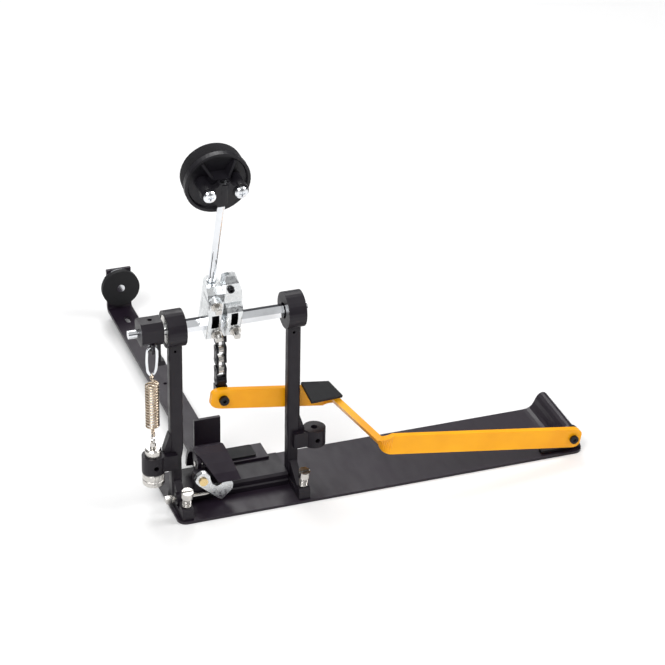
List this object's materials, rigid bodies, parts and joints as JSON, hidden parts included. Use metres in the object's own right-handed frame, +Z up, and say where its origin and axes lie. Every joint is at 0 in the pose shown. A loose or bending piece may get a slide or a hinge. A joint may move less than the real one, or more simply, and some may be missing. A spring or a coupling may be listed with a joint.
{
  "type": "side-lever percussion foot pedal",
  "caption": "Foot pedal with a long floor plate and side lever; a chain turns a sprung shaft and swings a foam beater forward. A rail and clamp hold the drum.",
  "frame": {"origin": "centre of the floor plate's underside", "axes": "+X along the floor plate towards the heel stop, +Y the strike direction, along the rail away from the player, +Z up"},
  "size_m": [0.511, 0.4781, 0.4264],
  "materials": {
    "black_steel": "satin black powder coat",
    "black_cast": "textured black powder coat",
    "chrome": "polished chrome plating",
    "cast_silver": "satin plated casting",
    "nickel": "bright nickel plating",
    "black_oxide": "black oxide",
    "orange_paint": "gloss orange enamel",
    "brass": "turned brass",
    "rubber": "matt black rubber",
    "foam": "dense charcoal foam",
    "black_plastic": "moulded black nylon"
  },
  "bodies": {
    "frame": {"base_plate": "black_steel", "lever_bracket": "black_cast", "post_left": "black_cast", "post_right": "black_cast", "bearing_left": "nickel", "bearing_right": "nickel", "cross_member": "black_cast", "lower_jaw": "black_steel", "jaw_pad": "rubber", "rail_screw_1": "black_oxide", "rail_screw_2": "black_oxide", "rail": "black_steel", "front_stop": "black_steel", "front_stop_pad": "rubber", "rocker_screw": "brass", "clamp_claw_pin": "nickel", "spring_collar": "nickel", "pivot_bolt": "black_oxide", "pivot_nut": "nickel", "rear_pad_nut": "nickel"},
    "rear_stop": {"rear_pad": "rubber", "rear_pad_backing": "chrome", "rear_pad_screw": "chrome"},
    "claw": {"clamp_claw": "black_steel"},
    "rocker": {"clamp_rocker": "cast_silver"},
    "clamp_screw": {"clamp_screw": "nickel"},
    "spur_left": {"spur_screw_left": "nickel", "spur_spring_left": "nickel"},
    "spur_right": {"spur_screw_right": "nickel", "spur_spring_right": "nickel"},
    "nut": {"tension_nut": "nickel"},
    "hook_rod": {"spring_hook_rod": "nickel"},
    "spring": {"return_spring": "nickel"},
    "link": {"spring_link": "chrome"},
    "shaft": {"shaft": "chrome", "spring_cam": "black_cast", "hub_left": "cast_silver", "hub_right": "cast_silver", "hub_grub_screw": "black_oxide", "rod_key_bolt": "nickel", "hub_key_bolt_left": "nickel", "hub_key_bolt_right": "nickel"},
    "beater": {"beater_rod": "chrome", "beater_cup": "black_plastic", "beater_saddle": "black_plastic", "saddle_screw_left": "chrome", "saddle_screw_right": "chrome", "beater_foam": "foam"},
    "lever": {"lever": "orange_paint", "toe_pad": "rubber", "connector_bolt": "black_oxide"},
    "chain": {"chain_connector": "black_oxide", "chain_outer_1": "black_oxide", "chain_outer_3": "black_oxide", "chain_outer_5": "black_oxide", "chain_outer_7": "black_oxide", "chain_inner_2": "nickel", "chain_inner_4": "nickel", "chain_inner_6": "nickel"}
  },
  "joints": [
    {"name": "beater_shaft", "type": "hinge", "parent": "frame", "child": "shaft", "pos_m": [-0.18, -0.002, 0.2153], "axis": [1, 0, 0], "range_deg": [-40, 0], "stiffness_Nm_per_rad": 0.4},
    {"name": "beater_height", "type": "slide", "parent": "shaft", "child": "beater", "axis": [0, -0.314, 0.9494], "range_m": [-0.02, 0.004]},
    {"name": "lever_pivot", "type": "hinge", "parent": "frame", "child": "lever", "pos_m": [0.221, -0.04925, 0.022], "axis": [0, 1, 0], "range_deg": [-2.05, 0.05]},
    {"name": "chain_hang", "type": "hinge", "parent": "lever", "child": "chain", "pos_m": [-0.169, 0.01, 0.113], "axis": [0, 1, 0], "range_deg": [-0.1, 3.67]},
    {"name": "tension_adjust", "type": "hinge", "parent": "frame", "child": "nut", "pos_m": [-0.2513, -0.006, 0.038], "axis": [0, 0, 1], "range_deg": [-360, 360]},
    {"name": "hook_rod_slide", "type": "slide", "parent": "frame", "child": "hook_rod", "axis": [0, 0, 1], "range_m": [-0.0014, 0.0014]},
    {"name": "spring_swing", "type": "hinge", "parent": "frame", "child": "spring", "pos_m": [-0.2513, -0.006, 0.0855], "axis": [1, 0, 0], "range_deg": [-0.1, 3.82]},
    {"name": "spring_stretch", "type": "slide", "parent": "spring", "child": "link", "axis": [0, -0.028, 0.9996], "range_m": [-0.0005, 0.00922], "deforming": ["return_spring"]},
    {"name": "clamp_screw_turn", "type": "slide", "parent": "frame", "child": "clamp_screw", "axis": [1, 0, 0], "range_m": [-0.006, 0]},
    {"name": "claw_tilt", "type": "hinge", "parent": "frame", "child": "claw", "pos_m": [-0.186, 0.002, 0.04], "axis": [1, 0, 0], "range_deg": [-6, 0]},
    {"name": "rocker_turn", "type": "hinge", "parent": "frame", "child": "rocker", "pos_m": [-0.2014, -0.022, 0.0335], "axis": [0, 1, 0], "range_deg": [0, 2.5]},
    {"name": "spur_left_turn", "type": "slide", "parent": "frame", "child": "spur_left", "axis": [0, -0.2079, 0.9781], "range_m": [0, 0.006]},
    {"name": "spur_right_turn", "type": "slide", "parent": "frame", "child": "spur_right", "axis": [0, -0.2079, 0.9781], "range_m": [0, 0.006]},
    {"name": "rear_stop_slide", "type": "slide", "parent": "frame", "child": "rear_stop", "axis": [0, 1, 0], "range_m": [-0.004, 0]}
  ],
  "couplings": [
    {"joint": "lever_pivot", "follows": "beater_shaft", "ratio": 0.04997},
    {"joint": "chain_hang", "follows": "beater_shaft", "ratio": -0.08925},
    {"joint": "spring_swing", "follows": "beater_shaft", "ratio": -0.09289},
    {"joint": "spring_stretch", "follows": "beater_shaft", "m_per_rad": -0.012485},
    {"joint": "hook_rod_slide", "follows": "tension_adjust", "m_per_rad": 0.00019894}
  ]
}
